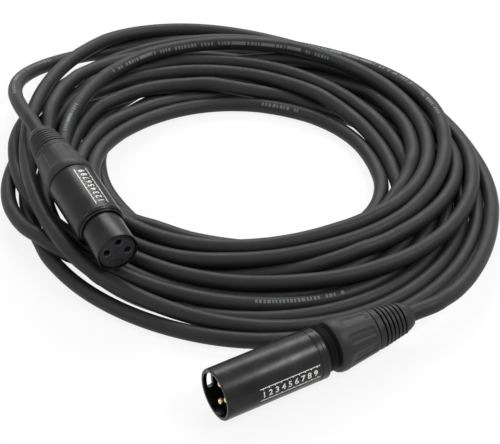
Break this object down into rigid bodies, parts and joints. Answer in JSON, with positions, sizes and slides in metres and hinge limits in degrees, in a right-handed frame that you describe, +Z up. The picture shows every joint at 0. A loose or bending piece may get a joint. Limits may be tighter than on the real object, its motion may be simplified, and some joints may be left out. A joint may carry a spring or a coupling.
{
  "type": "xlr cable coil",
  "caption": "Coiled balanced microphone cable with a female and a male locking round connector, each with a screw-on strain relief boot.",
  "frame": {"origin": "on the floor under the centre of the bounding box of the coiled cable and both connectors", "axes": "+Z up from the floor; +X along the male connector's axis, from its open front back to the cable; +Y from the male connector across the coil"},
  "size_m": [0.1973, 0.228, 0.033],
  "materials": {
    "shell_metal": "satin black over metal",
    "insert_plastic": "moulded, matte",
    "contact_gilt": "pale gilt, polished",
    "latch_steel": "satin",
    "spring_steel": "drawn wire",
    "chuck_plastic": "moulded",
    "boot_plastic": "moulded, semi-matte",
    "gland_rubber": "matte",
    "cable_jacket": "matte, with pale printed legends",
    "bare_copper": "stranded copper",
    "wire_red": "insulation",
    "wire_white": "insulation"
  },
  "bodies": {
    "root": {"female_shell": "shell_metal", "male_shell": "shell_metal", "female_insert": "insert_plastic", "male_insert": "insert_plastic", "female_contact_1": "contact_gilt", "female_contact_2": "contact_gilt", "female_contact_3": "contact_gilt", "male_pin_1": "contact_gilt", "male_pin_2": "contact_gilt", "male_pin_3": "contact_gilt", "female_latch_spring": "spring_steel", "female_conductor_1": "bare_copper", "male_conductor_1": "bare_copper", "female_conductor_2": "wire_red", "male_conductor_2": "wire_red", "female_conductor_3": "wire_white", "male_conductor_3": "wire_white", "female_tail": "cable_jacket", "cable_coil": "cable_jacket", "male_tail": "cable_jacket"},
    "female_latch": {"female_latch": "latch_steel"},
    "female_chuck": {"female_chuck": "chuck_plastic"},
    "female_boot": {"female_boot": "boot_plastic", "female_gland": "gland_rubber"},
    "male_chuck": {"male_chuck": "chuck_plastic"},
    "male_boot": {"male_boot": "boot_plastic", "male_gland": "gland_rubber"}
  },
  "joints": [
    {"name": "female_latch_press", "type": "slide", "parent": "root", "child": "female_latch", "axis": [0.1637, -0.0468, 0.9854], "range_m": [0, 0.0011], "stiffness_N_per_m": 2500, "springref_m": -0.0008, "deforming": ["female_latch_spring"]},
    {"name": "female_boot_slide", "type": "slide", "parent": "root", "child": "female_chuck", "axis": [0.0749, 0.9966, 0.0349], "range_m": [0, 0.009]},
    {"name": "female_boot_turn", "type": "hinge", "parent": "female_chuck", "child": "female_boot", "pos_m": [-0.07719, 0.01081, 0.02304], "axis": [0.0749, 0.9966, 0.0349], "range_deg": [0, 1080]},
    {"name": "male_boot_slide", "type": "slide", "parent": "root", "child": "male_chuck", "axis": [1, 0, 0], "range_m": [-0.0042, 0.0048]},
    {"name": "male_boot_turn", "type": "hinge", "parent": "male_chuck", "child": "male_boot", "pos_m": [-0.03564, -0.10424, 0.0099], "axis": [1, 0, 0], "range_deg": [-504, 576]}
  ],
  "couplings": [
    {"joint": "female_boot_turn", "follows": "female_boot_slide", "rad_per_m": 2094.4},
    {"joint": "male_boot_turn", "follows": "male_boot_slide", "rad_per_m": 2094.4}
  ]
}
